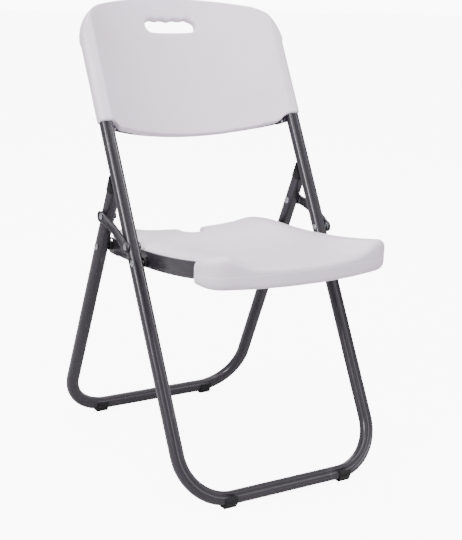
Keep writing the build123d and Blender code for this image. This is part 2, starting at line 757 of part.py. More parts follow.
write(front_tube(), "front_frame_tube")
write(rear_tube(), "rear_leg_tube")
write(seat_panel(), "seat_panel")
write(seat_brace(brace_front_y), "seat_brace_front")
write(seat_brace(brace_rear_y), "seat_brace_rear")
write(Compound([seat_screw(x, y) for x, y in seat_screw_places]), "seat_screws")
write(backrest_panel(), "backrest_panel")
write(crossbar(), "backrest_crossbar")
write(backrest_screws(), "backrest_screws")
for name, side in sides.items():
    write(seat_rail(side), f"seat_rail_{name}")
    write(link(side), f"link_{name}")
    for node, shape in pivots(side).items():
        write(shape, f"{node}_{name}")
    write(leg_cap(side), f"leg_cap_{name}")
    write(floor_pad(front_plane, side, frame_half_width - pad_inset_front), f"front_pad_{name}")
    write(floor_pad(rear_plane, side, frame_half_width - pad_inset_rear), f"rear_pad_{name}")
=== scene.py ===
import json
from math import atan2, cos, pi, radians, sin, sqrt

import bpy
from mathutils import Matrix, Vector


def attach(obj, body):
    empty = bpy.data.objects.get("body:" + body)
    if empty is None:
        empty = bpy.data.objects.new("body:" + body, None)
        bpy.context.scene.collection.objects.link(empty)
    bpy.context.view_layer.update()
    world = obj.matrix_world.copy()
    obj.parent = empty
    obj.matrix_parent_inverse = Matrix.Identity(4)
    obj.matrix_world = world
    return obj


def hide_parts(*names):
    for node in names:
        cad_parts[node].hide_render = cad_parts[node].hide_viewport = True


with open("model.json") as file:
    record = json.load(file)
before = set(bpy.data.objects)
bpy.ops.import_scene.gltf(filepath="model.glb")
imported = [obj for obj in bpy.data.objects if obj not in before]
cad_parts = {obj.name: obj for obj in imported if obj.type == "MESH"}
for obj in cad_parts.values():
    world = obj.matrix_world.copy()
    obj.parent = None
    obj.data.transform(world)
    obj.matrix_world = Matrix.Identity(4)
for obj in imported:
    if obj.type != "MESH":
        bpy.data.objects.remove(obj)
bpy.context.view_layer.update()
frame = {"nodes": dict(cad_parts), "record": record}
nodes = frame["nodes"]
print("frame loaded,", len(nodes), "nodes")

# camera: an upright frame, from the chair's front left and a little above
view = {"spot": (-1.1301, -1.8443, 0.9216), "azimuth": -31.93, "elevation": 14.54, "roll": 1.96,
        "lens": 77.57, "sensor": 36.0, "clip": (0.05, 50)}


def addCamera():
    data = bpy.data.cameras.new("camera")
    data.sensor_fit = "VERTICAL"
    data.sensor_height = view["sensor"]
    data.lens = view["lens"]
    data.clip_start, data.clip_end = view["clip"]
    camera = bpy.data.objects.new("camera", data)
    bpy.context.scene.collection.objects.link(camera)
    turn = (Matrix.Rotation(radians(view["azimuth"]), 4, "Z")
            @ Matrix.Rotation(radians(90 - view["elevation"]), 4, "X")
            @ Matrix.Rotation(radians(view["roll"]), 4, "Z"))
    camera.matrix_world = Matrix.Translation(view["spot"]) @ turn
    bpy.context.scene.camera = camera


addCamera()
print("camera set")

# the two bent frames: a foot on the floor, the way up the tubes, and the way out of the frame's face
stance = {"frontLean": radians(28.3), "rearLean": radians(23.4), "frontFoot": -0.247233, "rearFoot": 0.272767,
          "barHeight": 0.016}


def leaningFrame(foot, lean, back):
    # back is 1 where the top leans back from the foot, and -1 where it leans forward
    return {"foot": Vector((0, foot, stance["barHeight"])), "up": Vector((0, back * sin(lean), cos(lean))),
            "out": Vector((0, -back * cos(lean), sin(lean)))}


frontFrame = leaningFrame(stance["frontFoot"], stance["frontLean"], 1)
rearFrame = leaningFrame(stance["rearFoot"], stance["rearLean"], -1)


weld = {"made": 0.00002, "copied": 0.00001}  # corners this near become one
near = {"line": 0.00001, "place": 0.0001}  # an edge this near to a place lies on it
tall = 0.01  # an upright edge is longer than this


def objectMode():
    if bpy.context.mode != "OBJECT":
        bpy.ops.object.mode_set(mode="OBJECT")


def pick(piece):
    objectMode()
    bpy.ops.object.select_all(action="DESELECT")
    piece.select_set(True)
    bpy.context.view_layer.objects.active = piece


def editAll(piece):
    pick(piece)
    bpy.ops.object.mode_set(mode="EDIT")
    bpy.ops.mesh.select_all(action="SELECT")


def freshPrimitive(add, name, **sizes):
    objectMode()
    bpy.ops.object.select_all(action="DESELECT")
    add(**sizes)
    piece = bpy.context.object
    piece.name = piece.data.name = name
    bpy.ops.object.transform_apply(location=True, rotation=True, scale=True)
    return piece


def block(name, low, high):
    low, high = Vector(low), Vector(high)
    return freshPrimitive(bpy.ops.mesh.primitive_cube_add, name, size=1.0, location=(low + high) / 2,
                          scale=high - low)


def pin(name, centre, radius, length, turn=(0, pi / 2, 0), sides=48):
    return freshPrimitive(bpy.ops.mesh.primitive_cylinder_add, name, vertices=sides, radius=radius,
                          depth=length, location=centre, rotation=turn)


def moveVertices(piece, place):
    for vertex in piece.data.vertices:
        vertex.co = place(vertex.co)
    piece.data.update()


def bevelEdges(piece, chosen, width, segments=8):
    # chosen gets the two ends of an edge and says whether it is rounded
    pick(piece)
    mesh = piece.data
    bpy.ops.object.mode_set(mode="EDIT")
    bpy.ops.mesh.select_all(action="DESELECT")
    bpy.ops.mesh.select_mode(type="EDGE")
    objectMode()
    for edge in mesh.edges:
        edge.select = bool(chosen(*(mesh.vertices[i].co for i in edge.vertices)))
    bpy.ops.object.mode_set(mode="EDIT")
    bpy.ops.mesh.bevel(offset=width, segments=segments, affect="EDGES", clamp_overlap=False)
    bpy.ops.mesh.select_mode(type="VERT")
    objectMode()


def applyModifier(piece, kind, **settings):
    pick(piece)
    modifier = piece.modifiers.new(kind.lower(), kind)
    for key, value in settings.items():
        setattr(modifier, key, value)
    bpy.ops.object.modifier_apply(modifier=modifier.name)


def combine(piece, other, operation):
    applyModifier(piece, "BOOLEAN", operation=operation, solver="EXACT", object=other)
    bpy.data.objects.remove(other, do_unlink=True)


def cleanMesh(piece):
    editAll(piece)
    bpy.ops.mesh.remove_doubles(threshold=weld["made"])
    bpy.ops.mesh.normals_make_consistent(inside=False)
    objectMode()


def shade(piece, angle):
    pick(piece)
    bpy.ops.object.shade_smooth_by_angle(angle=radians(angle))


def finishPiece(piece, body, slot, material, *replaced):
    piece.data.materials.clear()
    piece.data.materials.append(material)
    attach(piece, body)
    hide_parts(*replaced)


def onFrame(plane):
    # from across, up the tubes and out of the face to where that is on the standing chair
    return lambda co: Vector((co.x, 0, 0)) + plane["foot"] + plane["up"] * co.y + plane["out"] * co.z


# finishes: the shared effects are node groups, and each material sets them its own way
effects = {"patchRange": (0.35, 0.68), "speckleRange": (0.42, 0.62), "fineGrain": 1600.0, "flecks": 2400.0,
           "fleckShare": 0.25, "rubStretch": (1.0, 1.0, 0.16), "rubRange": (0.58, 0.72), "rubPatches": 11.0,
           "rubPatchRange": (0.45, 0.65), "dustFacing": (0.35, 1.0), "dustPatches": 26.0,
           "dustRange": (0.4, 0.7)}


def newGroup(name, inputs, outputs):
    group = bpy.data.node_groups.new(name, "ShaderNodeTree")
    for label, kind, value in inputs:
        socket = group.interface.new_socket(label, in_out="INPUT", socket_type=kind)
        socket.default_value = value
    for label, kind in outputs:
        group.interface.new_socket(label, in_out="OUTPUT", socket_type=kind)
    return group, group.nodes.new("NodeGroupInput"), group.nodes.new("NodeGroupOutput")


def addNode(tree, kind, inputs=None, **settings):
    node = tree.nodes.new(kind)
    for key, value in settings.items():
        setattr(node, key, value)
    for key, value in (inputs or {}).items():
        if isinstance(value, bpy.types.NodeSocket):
            tree.links.new(value, node.inputs[key])
        else:
            node.inputs[key].default_value = value
    return node


def noise(tree, scale, detail=3.0, roughness=0.5, vector=None):
    node = addNode(tree, "ShaderNodeTexNoise", {"Scale": scale, "Detail": detail, "Roughness": roughness})
    vector = vector or objectPlace(tree)
    tree.links.new(vector, node.inputs["Vector"])
    return node.outputs["Fac"]


def remap(tree, value, low, high, start=0.0, end=1.0):
    return addNode(tree, "ShaderNodeMapRange", {"Value": value, "From Min": low, "From Max": high,
                                                "To Min": start, "To Max": end}).outputs["Result"]


def blendColours(tree, factor, first, second):
    return addNode(tree, "ShaderNodeMix", {0: factor, 6: first, 7: second}, data_type="RGBA").outputs[2]


def compute(tree, operation, first, *second):
    values = dict(enumerate((first, *second)))
    return addNode(tree, "ShaderNodeMath", values, operation=operation).outputs[0]


def multiply(tree, first, second):
    return compute(tree, "MULTIPLY", first, second)


def objectPlace(tree):
    return addNode(tree, "ShaderNodeTexCoord").outputs["Object"]


def makeMottle():
    # slow drift between two shades, with a finer speckle over it
    group, source, result = newGroup("mottle", [
        ("Shade", "NodeSocketColor", (0.5, 0.5, 0.5, 1)),
        ("Other Shade", "NodeSocketColor", (0.4, 0.4, 0.4, 1)),
        ("Patch Scale", "NodeSocketFloat", 9.0), ("Speckle Scale", "NodeSocketFloat", 420.0),
        ("Speckle", "NodeSocketFloat", 0.15)], [("Colour", "NodeSocketColor"), ("Mask", "NodeSocketFloat")])
    patch = remap(group, noise(group, source.outputs["Patch Scale"], 4.0), *effects["patchRange"])
    speckle = remap(group, noise(group, source.outputs["Speckle Scale"], 2.0), *effects["speckleRange"])
    mixed = addNode(group, "ShaderNodeMix", {0: source.outputs["Speckle"], 2: patch, 3: speckle}).outputs[0]
    colour = blendColours(group, mixed, source.outputs["Shade"], source.outputs["Other Shade"])
    group.links.new(colour, result.inputs["Colour"])
    group.links.new(mixed, result.inputs["Mask"])
    return group


def makeGrain():
    # the fine leathery grain that a mould leaves, with soft dents of the cooling sheet under it
    group, source, result = newGroup("mould grain", [
        ("Scale", "NodeSocketFloat", 700.0), ("Soft Scale", "NodeSocketFloat", 14.0),
        ("Soft Depth", "NodeSocketFloat", 0.6)], [("Height", "NodeSocketFloat")])
    place = objectPlace(group)
    cells = addNode(group, "ShaderNodeTexVoronoi", {"Vector": place, "Scale": source.outputs["Scale"]},
                    feature="SMOOTH_F1").outputs["Distance"]
    fine = compute(group, "ADD", cells, noise(group, effects["fineGrain"], 2.0, vector=place))
    dents = noise(group, source.outputs["Soft Scale"], 1.0, vector=place)
    soft = multiply(group, dents, source.outputs["Soft Depth"])
    group.links.new(compute(group, "ADD", fine, soft), result.inputs["Height"])
    return group


def makePeel():
    # the slight orange peel of baked powder paint
    group, source, result = newGroup("powder peel", [("Scale", "NodeSocketFloat", 260.0)],
                                     [("Height", "NodeSocketFloat")])
    place = objectPlace(group)
    waves = noise(group, source.outputs["Scale"], 1.0, vector=place)
    flecks = multiply(group, noise(group, effects["flecks"], 1.0, vector=place), effects["fleckShare"])
    group.links.new(compute(group, "ADD", waves, flecks), result.inputs["Height"])
    return group


def makeScuffs():
    # short drawn-out rubs, stretched along the chair's height
    group, source, result = newGroup("scuffs", [("Scale", "NodeSocketFloat", 60.0),
                                                ("Amount", "NodeSocketFloat", 0.3)],
                                     [("Mask", "NodeSocketFloat")])
    place = objectPlace(group)
    drawn = addNode(group, "ShaderNodeMapping", {"Vector": place, "Scale": effects["rubStretch"]})
    streaks = noise(group, source.outputs["Scale"], 5.0, 0.65, vector=drawn.outputs["Vector"])
    streaks = remap(group, streaks, *effects["rubRange"])
    where = noise(group, effects["rubPatches"], 2.0, vector=place)
    where = remap(group, where, *effects["rubPatchRange"])
    mask = multiply(group, multiply(group, streaks, where), source.outputs["Amount"])
    group.links.new(mask, result.inputs["Mask"])
    return group


def makeDust():
    # a trace of dust on what faces up
    group, source, result = newGroup("dust", [("Amount", "NodeSocketFloat", 0.2)],
                                     [("Mask", "NodeSocketFloat")])
    normal = addNode(group, "ShaderNodeNewGeometry").outputs["Normal"]
    up = addNode(group, "ShaderNodeSeparateXYZ", {0: normal}).outputs["Z"]
    facing = remap(group, up, *effects["dustFacing"])
    patch = remap(group, noise(group, effects["dustPatches"], 5.0, 0.6), *effects["dustRange"])
    mask = multiply(group, multiply(group, facing, patch), source.outputs["Amount"])
    group.links.new(mask, result.inputs["Mask"])
    return group


def makeMouldSeam():
    # the thin raised line where the two halves of the mould met, on the front of the seat; its mask places
    # the seam's bump and also a painted highlight along it
    group, source, result = newGroup("mould seam", [
        ("Height", "NodeSocketFloat", 0.427), ("Width", "NodeSocketFloat", 0.0008),
        ("Behind", "NodeSocketFloat", -0.235)], [("Mask", "NodeSocketFloat")])
    place = addNode(group, "ShaderNodeSeparateXYZ", {0: objectPlace(group)})
    above = compute(group, "SUBTRACT", place.outputs["Z"], source.outputs["Height"])
    away = compute(group, "ABSOLUTE", above)
    line = remap(group, away, source.outputs["Width"], 0.0)
    inFront = compute(group, "LESS_THAN", place.outputs["Y"], source.outputs["Behind"])
    group.links.new(multiply(group, line, inFront), result.inputs["Mask"])
    return group


groups = {"seam": makeMouldSeam(), "mottle": makeMottle(), "grain": makeGrain(), "peel": makePeel(),
          "scuffs": makeScuffs(), "dust": makeDust()}


def useGroup(tree, name, values):
    return addNode(tree, "ShaderNodeGroup", values, node_tree=groups[name])


def addBump(tree, shader, height, strength, distance):
    bump = addNode(tree, "ShaderNodeBump", {"Height": height, "Strength": strength, "Distance": distance})
    tree.links.new(bump.outputs["Normal"], shader.inputs["Normal"])


mouldGrain = {"Scale": 720.0, "Soft Scale": 16.0, "Soft Depth": 1.4}
smallGrain = {"Scale": 900.0, "Soft Scale": 60.0, "Soft Depth": 0.6}
finishes = {
    "shell": {"shade": (0.70, 0.625, 0.725, 1), "other": (0.665, 0.585, 0.68, 1),
              "rubbed": (0.76, 0.71, 0.79, 1), "dusty": (0.76, 0.715, 0.76, 1), "roughness": (0.40, 0.50),
              "patchScale": 7.0, "speckleScale": 380.0, "speckle": 0.25,
              "scuffScale": 45.0, "scuffs": 0.25, "dust": 0.20,
              "shader": {"IOR": 1.5, "Specular IOR Level": 0.42},
              "surface": ("grain", mouldGrain), "bump": (0.35, 0.0004)},
    "frame": {"shade": (0.030, 0.026, 0.034, 1), "other": (0.023, 0.0205, 0.0265, 1),
              "rubbed": (0.10, 0.095, 0.105, 1), "dusty": (0.10, 0.095, 0.10, 1), "roughness": (0.27, 0.36),
              "patchScale": 12.0, "speckleScale": 900.0, "speckle": 0.4,
              "scuffScale": 70.0, "scuffs": 0.35, "dust": 0.10,
              "shader": {"Metallic": 0.35, "Specular IOR Level": 0.4, "Coat Weight": 0.15,
                         "Coat Roughness": 0.18},
              "surface": ("peel", {"Scale": 280.0}), "bump": (0.22, 0.0004)},
    "link": {"shade": (0.040, 0.035, 0.044, 1), "other": (0.031, 0.028, 0.035, 1),
             "rubbed": (0.12, 0.115, 0.125, 1), "dusty": (0.11, 0.105, 0.11, 1), "roughness": (0.30, 0.42),
             "patchScale": 20.0, "speckleScale": 1100.0, "speckle": 0.4,
             "scuffScale": 120.0, "scuffs": 0.5, "dust": 0.10,
             "shader": {"Metallic": 0.45, "Coat Weight": 0.2, "Coat Roughness": 0.18},
             "surface": ("peel", {"Scale": 420.0}), "bump": (0.18, 0.0003)},
    "zinc": {"shade": (0.40, 0.415, 0.45, 1), "other": (0.30, 0.31, 0.34, 1),
             "rubbed": (0.62, 0.63, 0.66, 1), "dusty": (0.30, 0.30, 0.30, 1), "roughness": (0.30, 0.44),
             "patchScale": 90.0, "speckleScale": 1500.0, "speckle": 0.5,
             "scuffScale": 260.0, "scuffs": 0.6, "dust": 0.25,
             "shader": {"Metallic": 1.0},
             "surface": ("peel", {"Scale": 700.0}), "bump": (0.25, 0.0002)},
    "black": {"shade": (0.0065, 0.006, 0.007, 1), "other": (0.010, 0.0095, 0.011, 1),
              "rubbed": (0.03, 0.03, 0.032, 1), "dusty": (0.05, 0.048, 0.047, 1), "roughness": (0.40, 0.54),
              "patchScale": 40.0, "speckleScale": 900.0, "speckle": 0.3,
              "scuffScale": 160.0, "scuffs": 0.3, "dust": 0.15,
              "shader": {"IOR": 1.46, "Specular IOR Level": 0.22},
              "surface": ("grain", smallGrain), "bump": (0.4, 0.0003)}}
# the seam's rise is a bump; its colour and its share are a painted highlight, paler than the plastic
seamAndPaintedHighlight = {"height": 0.427, "width": 0.0011, "behind": -0.235, "shine": 0.6,
             "colour": (0.86, 0.82, 0.88, 1), "rise": 2.5}


def startFinish(name, look):
    # colour and roughness from the shared effects; the height that comes back is for the bump
    material = bpy.data.materials.new(name)
    material.use_nodes = True
    tree = material.node_tree
    shader = tree.nodes["Principled BSDF"]
    for key, value in look["shader"].items():
        shader.inputs[key].default_value = value
    mottle = useGroup(tree, "mottle", {"Shade": look["shade"], "Other Shade": look["other"],
                                       "Patch Scale": look["patchScale"],
                                       "Speckle Scale": look["speckleScale"], "Speckle": look["speckle"]})
    scuffs = useGroup(tree, "scuffs", {"Scale": look["scuffScale"], "Amount": look["scuffs"]}).outputs["Mask"]
    dust = useGroup(tree, "dust", {"Amount": look["dust"]}).outputs["Mask"]
    colour = blendColours(tree, scuffs, mottle.outputs["Colour"], look["rubbed"])
    colour = blendColours(tree, dust, colour, look["dusty"])
    tree.links.new(colour, shader.inputs["Base Color"])
    worn = compute(tree, "ADD", mottle.outputs["Mask"], dust)
    tree.links.new(remap(tree, worn, 0.0, 1.0, *look["roughness"]), shader.inputs["Roughness"])
    group, values = look["surface"]
    return material, tree, shader, useGroup(tree, group, values).outputs["Height"]


def makeFinish(name, look):
    material, tree, shader, height = startFinish(name, look)
    addBump(tree, shader, height, *look["bump"])
    return material


def makeSeatPlastic():
    # the same plastic with the mould's seam along the apron: a bump for its rise, and a painted highlight
    # that lightens the base colour along it
    look = finishes["shell"]
    material, tree, shader, grain = startFinish("seatPlastic", look)
    seam = useGroup(tree, "seam", {"Height": seamAndPaintedHighlight["height"], "Width": seamAndPaintedHighlight["width"],
                                   "Behind": seamAndPaintedHighlight["behind"]}).outputs["Mask"]
    coated = shader.inputs["Base Color"].links[0].from_socket
    # painted highlight: the base colour is blended toward a paler colour along the seam
    shine = multiply(tree, seam, seamAndPaintedHighlight["shine"])
    tree.links.new(blendColours(tree, shine, coated, seamAndPaintedHighlight["colour"]), shader.inputs["Base Color"])
    height = compute(tree, "ADD", multiply(tree, seam, seamAndPaintedHighlight["rise"]), grain)
    addBump(tree, shader, height, *look["bump"])
    return material


shellPlastic = makeFinish("shellPlastic", finishes["shell"])
seatPlastic = makeSeatPlastic()
frameSteel = makeFinish("frameSteel", finishes["frame"])
linkSteel = makeFinish("linkSteel", finishes["link"])
zincSteel = makeFinish("zincSteel", finishes["zinc"])
blackPlastic = makeFinish("blackPlastic", finishes["black"])
print("finishes made")

# tube frames: a fluted section, run down one side, round the floor bar and up the other side
tube = {"halfWidth": 0.0125, "halfDepth": 0.0105, "corner": 0.009, "flute": 0.003, "fluteRadius": 0.0085,
        "ridge": 0.0005, "spread": 0.206, "bend": 0.090, "frontTop": 0.868, "rearTop": 0.559,
        "dimpleUp": 0.440, "dimpleOut": 0.003, "dimpleRadius": 0.0095, "dimpleDepth": 0.003,
        "dimpleRound": 0.0014, "dimpleSteps": 4, "sides": 96, "bendSteps": 28, "smooth": 32}


def softMin(first, second, reach):
    # the lower of two, which run into each other over that reach
    mix = max(0.0, min(1.0, 0.5 + 0.5 * (first - second) / reach))
    return first * (1 - mix) + second * mix - reach * mix * (1 - mix)


def tubeFace(across):
    # how far the plain side stands from the middle plane, at a distance across it
    flat = tube["halfWidth"] - tube["corner"]
    reach = max(abs(across) - flat, 0.0)
    return tube["halfDepth"] - tube["corner"] + sqrt(max(tube["corner"] ** 2 - reach ** 2, 0.0))


def tubeFlutedFace(across):
    plain = tubeFace(across)
    if abs(across) >= tube["fluteRadius"]:
        return plain
    groove = (tube["halfDepth"] - tube["flute"] + tube["fluteRadius"]
              - sqrt(tube["fluteRadius"] ** 2 - across ** 2))
    return softMin(plain, groove, tube["ridge"])  # over a rounded ridge


def tubeSectionPoint(i, count):
    # from one edge over the fluted face to the other edge, then back along the plain face
    half = count // 2
    if i < half:
        across = tube["halfWidth"] * cos(pi * i / (half - 1))
        return across, tubeFlutedFace(across)
    across = -tube["halfWidth"] * cos(pi * (i - half) / (half - 1))
    return across, -tubeFace(across)


def bentTube(name, top):
    count, steps = tube["sides"], tube["bendSteps"]
    piece = freshPrimitive(bpy.ops.mesh.primitive_circle_add, name, vertices=count, radius=tube["halfWidth"],
                           fill_type="NGON")
    for i, vertex in enumerate(piece.data.vertices):
        across, out = tubeSectionPoint(i, count)
        vertex.co = (-tube["spread"] + across, top, out)
    bend, spread = tube["bend"], tube["spread"]
    editAll(piece)
    bpy.ops.mesh.extrude_region_move(TRANSFORM_OT_translate={"value": (0, bend - top, 0)})
    bpy.ops.mesh.spin(steps=steps, angle=-pi / 2, center=(bend - spread, bend, 0), axis=(0, 0, 1))
    bpy.ops.mesh.extrude_region_move(TRANSFORM_OT_translate={"value": (2 * (spread - bend), 0, 0)})
    bpy.ops.mesh.spin(steps=steps, angle=-pi / 2, center=(spread - bend, bend, 0), axis=(0, 0, 1))
    bpy.ops.mesh.extrude_region_move(TRANSFORM_OT_translate={"value": (0, top - bend, 0)})
    objectMode()
    cleanMesh(piece)
    return piece


def makeFrontTube():
    # a dimple in each upright, where the link's pin goes in
    piece = bentTube("frontTube", tube["frontTop"])
    for side in (-1, 1):
        face = side * (tube["spread"] + tube["halfWidth"])
        depth = 2 * tube["dimpleDepth"]
        cutter = pin("dimpleCutter", (face, tube["dimpleUp"], tube["dimpleOut"]), tube["dimpleRadius"], depth)
        bevelEdges(cutter, lambda a, b: abs(a.x - b.x) < near["place"] and abs(a.x) < abs(face),
                   tube["dimpleRound"], tube["dimpleSteps"])
        combine(piece, cutter, "DIFFERENCE")
    moveVertices(piece, onFrame(frontFrame))
    shade(piece, tube["smooth"])
    finishPiece(piece, "front_frame", "frame_steel", frameSteel, "front_frame_tube")
    return piece


def makeRearTube():
    piece = bentTube("rearTube", tube["rearTop"])
    moveVertices(piece, onFrame(rearFrame))
    cleanMesh(piece)
    shade(piece, tube["smooth"])
    finishPiece(piece, "rear_frame", "frame_steel", frameSteel, "rear_leg_tube")
    return piece


makeFrontTube()
makeRearTube()
print("tubes bent")

# backrest: shaped flat, with x across, y up the uprights and z out of the face, and then bowed
back = {"halfWidth": 0.221, "top": 0.98226, "sideTop": 0.86296, "corner": 0.095, "sleeveLow": 0.70896,
        "lowEnd": 0.69796, "lowMiddle": 0.69296, "lowReach": 0.176, "sleeveWidth": 0.031,
        "face": 0.0135, "arcReach": 0.198, "drop": 0.0575, "thickness": 0.018, "sleeveDepth": 0.027,
        "slotHalf": 0.0575, "slotLow": 0.90796, "slotHigh": 0.93696, "scallops": 4, "scallopDepth": 0.0030,
        "scoopRise": 0.013, "scoopDepth": 0.0045, "scoopStart": 0.004, "scoopEnds": 0.008,
        "tabX": (0.1795, 0.1945), "tabUp": (0.697, 0.722), "tabLap": 0.001, "hookSink": 0.004,
        "barGap": 0.0046, "tabThickness": 0.006, "edgeRound": 0.009, "edgeSteps": 6, "voxel": 0.002,
        "soften": 16, "softenBowed": 5, "scoopShare": 0.6, "fingerDepth": 0.65, "clear": 0.06,
        "recessUp": (0.6, 1.1), "cornerSteps": 24, "crownSteps": 48, "bellySteps": 40, "endSteps": 16,
        "scallopSteps": 60}


def arcOver(reach, rise):
    # radius of the arc that rises this much over twice that reach
    return (reach ** 2 + rise ** 2) / (2 * rise)


backInner = back["halfWidth"] - back["sleeveWidth"]
bowRadius = arcOver(back["arcReach"], back["drop"])
scallopPitch = 2 * (back["slotHalf"] - back["scallopDepth"]) / back["scallops"]


def bowFace(x):
    # how far the face stands out of the frame's plane
    x = min(abs(x), back["arcReach"])
    return back["face"] - back["drop"] + bowRadius - sqrt(bowRadius ** 2 - x ** 2)


def bowStretch(x):
    # a wall square to the bowed face is thicker measured straight back
    return bowRadius / sqrt(bowRadius ** 2 - x ** 2) if abs(x) < backInner else 1.0


def arcPoints(centre, radius, start, end, count):
    turns = [start + (end - start) * i / (count - 1) for i in range(count)]
    return [(centre[0] + radius * cos(turn), centre[1] + radius * sin(turn)) for turn in turns]


def backOutline():
    # one wide arc over the top, an arc at each corner that runs into it, and a belly below
    wide, corner, cornerUp, top = back["halfWidth"], back["corner"], back["sideTop"], back["top"]
    cornerX, rise = wide - corner, top - cornerUp
    crown = (cornerX ** 2 + rise ** 2 - corner ** 2) / (2 * (rise - corner))
    crownUp = top - crown
    turn = atan2(cornerUp - crownUp, cornerX)
    right = arcPoints((cornerX, cornerUp), corner, 0.0, turn, back["cornerSteps"])
    crest = arcPoints((0, crownUp), crown, turn, pi - turn, back["crownSteps"])[1:-1]
    left = arcPoints((-cornerX, cornerUp), corner, pi - turn, pi, back["cornerSteps"])
    reach, low, middle = back["lowReach"], back["sleeveLow"], back["lowMiddle"]
    belly = arcOver(reach, back["lowEnd"] - middle)
    steps = back["bellySteps"]
    across = [reach * (2 * i / steps - 1) for i in range(steps + 1)]
    bottom = [(x, middle + belly - sqrt(belly ** 2 - x ** 2)) for x in across]
    return (right + crest + left + [(-wide, low), (-backInner, low)] + bottom
            + [(backInner, low), (wide, low)])


def slotOutline():
    # round ends, a straight lower edge and a scallop for each finger above
    low, high = back["slotLow"], back["slotHigh"] - back["scallopDepth"]
    radius = (high - low) / 2
    reach = back["slotHalf"] - radius
    points = arcPoints((-reach, low + radius), radius, pi / 2, 1.5 * pi, back["endSteps"])
    points += arcPoints((reach, low + radius), radius, -pi / 2, pi / 2, back["endSteps"])
    steps = back["scallopSteps"]
    for i in range(1, steps):
        x = reach - 2 * reach * i / steps
        points.append((x, high + back["scallopDepth"] * abs(sin(pi * x / scallopPitch))))
    return points


def prism(name, points, low, high):
    piece = freshPrimitive(bpy.ops.mesh.primitive_circle_add, name, vertices=len(points), radius=0.1,
                           fill_type="NGON")
    for vertex, (x, y) in zip(piece.data.vertices, points):
        vertex.co = (x, y, low)
    editAll(piece)
    bpy.ops.mesh.extrude_region_move(TRANSFORM_OT_translate={"value": (0, 0, high - low)})
    objectMode()
    cleanMesh(piece)
    return piece


def smoothShape(piece, passes):
    applyModifier(piece, "SMOOTH", factor=0.5, iterations=passes)


def softenShape(piece, voxel, passes):
    # one even skin over the whole shape, with its edges rounded off
    applyModifier(piece, "REMESH", mode="VOXEL", voxel_size=voxel)
    smoothShape(piece, passes)


def scoop(co):
    # fingers reach into the slot over a hollow above it
    if abs(co.x) > back["slotHalf"] or co.z < -back["thickness"] * back["scoopShare"]:
        return 0.0
    rise = (co.y - back["slotHigh"] + back["scoopStart"]) / back["scoopRise"]
    if rise < 0 or rise > 1:
        return 0.0
    finger = 1 - back["fingerDepth"] * (1 - abs(sin(pi * co.x / scallopPitch)))
    ends = min(1.0, (back["slotHalf"] - abs(co.x)) / back["scoopEnds"])
    return back["scoopDepth"] * (1 - rise) ** 2 * finger * ends


def bowed(co):
    out = (co.z - scoop(co)) * bowStretch(co.x) + bowFace(co.x)
    return Vector((co.x, co.y, out))


def alongSide(a, b):
    # the sleeves' outer edges, which run straight up the backrest
    atSide = [abs(abs(end.x) - back["halfWidth"]) < near["line"] for end in (a, b)]
    return all(atSide) and abs(a.z - b.z) < near["line"]


def makeBackrest():
    piece = prism("backrest", backOutline(), -back["sleeveDepth"], 0.0)
    low, high = back["recessUp"]
    recess = block("recess", (-backInner, low, -back["clear"]), (backInner, high, -back["thickness"]))
    combine(piece, recess, "DIFFERENCE")
    combine(piece, prism("slotCutter", slotOutline(), -back["clear"], back["clear"]), "DIFFERENCE")
    bevelEdges(piece, alongSide, back["edgeRound"], back["edgeSteps"])
    low, high = back["tabUp"]
    start = -back["thickness"] - back["barGap"]
    for side in (-1, 1):
        # a tab behind each end of the crossbar, and the bridge over the bar that carries it
        a, b = sorted(side * x for x in back["tabX"])
        tab = block("tab", (a, low, start - back["tabThickness"]), (b, high, start))
        hook = block("hook", (a, back["sleeveLow"] + back["tabLap"], start - back["tabLap"]),
                     (b, high, back["hookSink"] - back["thickness"]))
        combine(piece, tab, "UNION")
        combine(piece, hook, "UNION")
    softenShape(piece, back["voxel"], back["soften"])
    moveVertices(piece, bowed)
    smoothShape(piece, back["softenBowed"])
    moveVertices(piece, onFrame(frontFrame))
    cleanMesh(piece)
    pick(piece)
    bpy.ops.object.shade_smooth()
    finishPiece(piece, "front_frame", "shell_plastic", shellPlastic, "backrest_panel")
    return piece


backrest = makeBackrest()
print("backrest made,", len(backrest.data.polygons), "faces")

# seat: shaped flat, with z above the rails' middle line, and then bent to that line
seat = {"front": -0.287233, "back": 0.138767, "slabFront": -0.238, "rollBack": -0.220233,
        "sideFront": 0.1905, "side": 0.1855, "low": -0.001, "high": 0.023, "rollLow": -0.038,
        "rollBottom": 0.400, "frontCorner": 0.034, "backCorner": 0.048, "rollRound": 0.015,
        "notchHalf": 0.022, "notchDepth": 0.040, "notchLip": 0.014, "notchEnd": 0.0149, "edgeRound": 0.009,
        "dish": 0.009, "shoulder": 0.045, "edgeDrop": 0.003, "frontBow": 0.019, "bowEnd": -0.16,
        "bottomRise": 0.005, "thinnest": 0.008, "rollFade": (-0.240, -0.212),
        "voxel": 0.0025, "soften": 10, "smooth": 38, "clear": 0.05, "cornerSteps": 12, "notchEndSteps": 10,
        "notchLipSteps": 8, "edgeSteps": 5, "rollSteps": 6}
# the middle of the seat runs on almost level to the front, between two horns
horns = {"middle": 0.438, "slope": 0.0507, "half": 0.112, "curl": 0.005, "rise": 0.56, "blend": 0.012,
         "meet": 0.007}
rails = {"points": ((-0.226233, 0.4325), (-0.099233, 0.4140), (0.095767, 0.4042)), "halfHeight": 0.0155,
         "gap": 0.0003, "inner": 0.1732, "outer": 0.1868, "start": -0.239533, "bends": 30,
         "roomDeep": -0.03, "roomSide": 0.205, "roomBack": 0.16}
braces = {"places": (-0.172233, 0.044767), "drop": 0.005, "radius": 0.0073, "length": 0.37}


